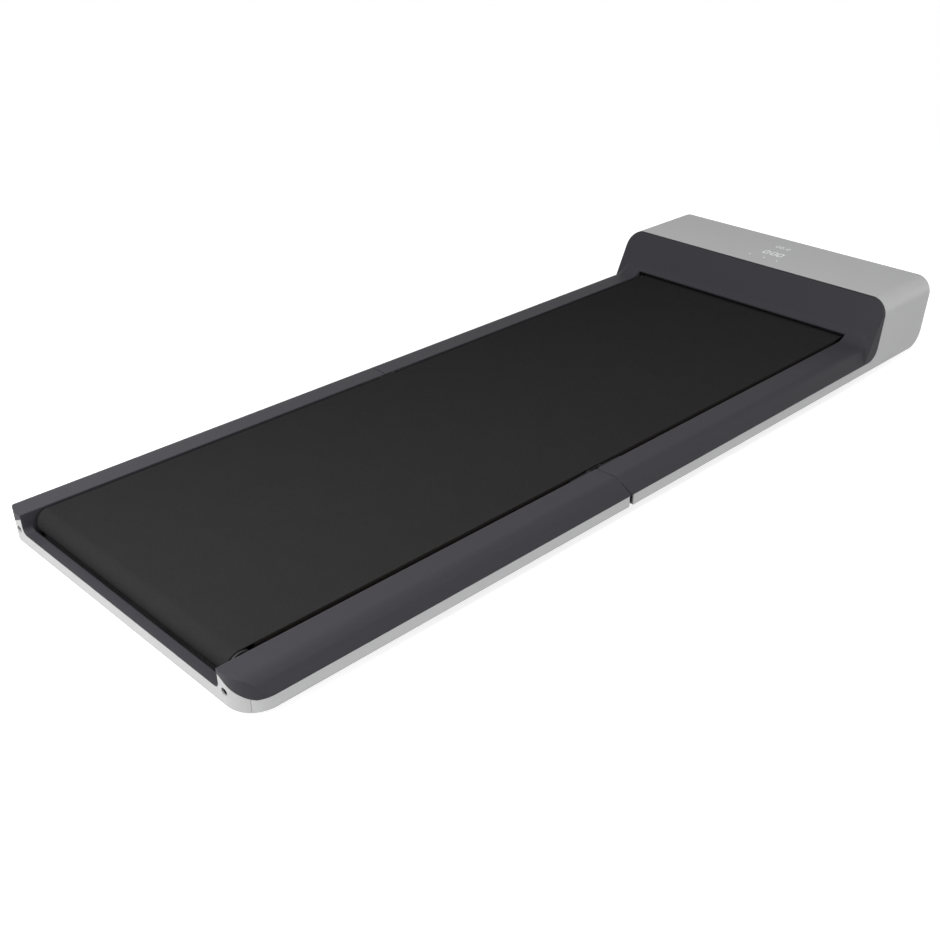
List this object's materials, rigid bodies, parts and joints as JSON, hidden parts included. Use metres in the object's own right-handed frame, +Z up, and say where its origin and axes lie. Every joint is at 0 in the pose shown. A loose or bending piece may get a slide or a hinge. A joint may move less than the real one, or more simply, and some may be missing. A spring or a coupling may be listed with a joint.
{
  "type": "folding under-desk treadmill",
  "caption": "Low walking treadmill that folds in half, with foot rails, a closed walking belt on rollers, a deck and a motor head on transport wheels.",
  "frame": {"origin": "centre of the footprint on the floor, laid out flat", "axes": "+X towards the motor head, +Y to the left, +Z up"},
  "size_m": [1.432, 0.547, 0.129],
  "materials": {
    "dark_cover": "fine moulded texture",
    "silver_shell": "silver painted",
    "silver_end_cap": "silver painted",
    "black_frame": "powder coated",
    "black_plate": "powder coated",
    "deck_board": "black stained, laminated",
    "black_rubber": "moulded",
    "walking_belt": "woven texture",
    "steel_screw": "zinc plated",
    "steel_axle": "turned",
    "black_hinge": "black oxide",
    "roller_steel": "black coated",
    "bearing_steel": "black oxide with dark seals",
    "motor_can": "painted",
    "zinc_bracket": "zinc plated",
    "pulley_metal": "turned",
    "black_plastic": "moulded",
    "circuit_board": "solder mask",
    "heat_sink": "extruded",
    "rocker_black": "polished",
    "button_red": "polished",
    "wheel_black": "moulded",
    "block_metal": "cast"
  },
  "bodies": {
    "front_half": {"front_frame": "black_frame", "front_cover": "dark_cover", "front_shell": "silver_shell", "front_base_plate": "black_plate", "front_deck": "deck_board", "front_cushions": "black_rubber", "front_deck_screws": "steel_screw", "front_feet": "black_rubber", "front_base_screws": "steel_screw", "front_roller_axle": "steel_axle", "walking_belt_front": "walking_belt", "hinge_bracket_front_left": "black_hinge", "hinge_bracket_front_right": "black_hinge", "hinge_pins_front": "steel_axle", "motor_body": "motor_can", "motor_mount": "zinc_bracket", "drive_belt": "black_rubber", "control_board": "circuit_board", "heat_sink": "heat_sink", "display_board": "circuit_board", "power_inlet": "black_plastic", "switch_frame": "black_plastic", "reset_body": "black_plastic", "wheel_brackets": "zinc_bracket", "wheel_pins": "steel_axle", "front_bolts": "steel_screw"},
    "front_roller_turning": {"front_roller": "roller_steel", "front_roller_bearings": "bearing_steel", "roller_pulley": "pulley_metal"},
    "motor_rotor": {"motor_shaft": "steel_axle", "motor_pulley": "pulley_metal", "motor_fan": "black_plastic"},
    "power_rocker": {"power_switch": "rocker_black"},
    "reset_plunger": {"reset_button": "button_red"},
    "left_transport_wheel": {"transport_wheel_left": "wheel_black"},
    "right_transport_wheel": {"transport_wheel_right": "wheel_black"},
    "left_link": {"fold_link_left": "black_hinge"},
    "right_link": {"fold_link_right": "black_hinge"},
    "rear_half": {"rear_frame": "black_frame", "rear_cover": "dark_cover", "rear_end_cap": "silver_end_cap", "rear_strip_left": "silver_shell", "rear_strip_right": "silver_shell", "rear_base_plate": "black_plate", "rear_deck": "deck_board", "rear_cushions": "black_rubber", "rear_deck_screws": "steel_screw", "rear_feet": "black_rubber", "rear_base_screws": "steel_screw", "hinge_bracket_rear_left": "black_hinge", "hinge_bracket_rear_right": "black_hinge", "hinge_pins_rear": "steel_axle", "walking_belt_rear": "walking_belt", "rear_roller_axle": "steel_axle", "axle_block_left": "block_metal", "axle_block_right": "block_metal", "tension_screws": "steel_screw", "rear_bolts": "steel_screw"},
    "rear_roller_turning": {"rear_roller": "roller_steel", "rear_roller_bearings": "bearing_steel"}
  },
  "joints": [
    {"name": "front_roller_spin", "type": "hinge", "parent": "front_half", "child": "front_roller_turning", "pos_m": [0.55156, 0, 0.0382], "axis": [0, 1, 0], "continuous": true},
    {"name": "motor_spin", "type": "hinge", "parent": "front_half", "child": "motor_rotor", "pos_m": [0.649, 0, 0.062], "axis": [0, 1, 0], "continuous": true},
    {"name": "power_switch_rock", "type": "hinge", "parent": "front_half", "child": "power_rocker", "pos_m": [0.70166, -0.108, 0.05244], "axis": [0.1461, 0, 0.9893], "range_deg": [0, 14]},
    {"name": "reset_button_press", "type": "slide", "parent": "front_half", "child": "reset_plunger", "axis": [-0.9893, 0, 0.1461], "range_m": [0, 0.002], "stiffness_N_per_m": 300},
    {"name": "left_wheel_spin", "type": "hinge", "parent": "front_half", "child": "left_transport_wheel", "pos_m": [0.67342, 0.225, 0.0258], "axis": [0, 1, 0], "continuous": true},
    {"name": "right_wheel_spin", "type": "hinge", "parent": "front_half", "child": "right_transport_wheel", "pos_m": [0.67342, -0.225, 0.0258], "axis": [0, 1, 0], "continuous": true},
    {"name": "left_link_fold", "type": "hinge", "parent": "front_half", "child": "left_link", "pos_m": [-0.091, 0.218, 0.0513], "axis": [0, 1, 0], "range_deg": [0, 90]},
    {"name": "right_link_fold", "type": "hinge", "parent": "front_half", "child": "right_link", "pos_m": [-0.091, -0.218, 0.0513], "axis": [0, 1, 0], "range_deg": [0, 90]},
    {"name": "rear_half_fold", "type": "hinge", "parent": "left_link", "child": "rear_half", "pos_m": [-0.115, 0, 0.0513], "axis": [0, 1, 0], "range_deg": [0, 90]},
    {"name": "rear_roller_spin", "type": "hinge", "parent": "rear_half", "child": "rear_roller_turning", "pos_m": [-0.6805, 0, 0.0382], "axis": [0, 1, 0], "continuous": true}
  ],
  "couplings": [
    {"joint": "motor_spin", "follows": "front_roller_spin", "ratio": 2},
    {"joint": "rear_roller_spin", "follows": "front_roller_spin", "ratio": 1},
    {"joint": "rear_half_fold", "follows": "left_link_fold", "ratio": 1},
    {"joint": "right_link_fold", "follows": "left_link_fold", "ratio": 1}
  ]
}
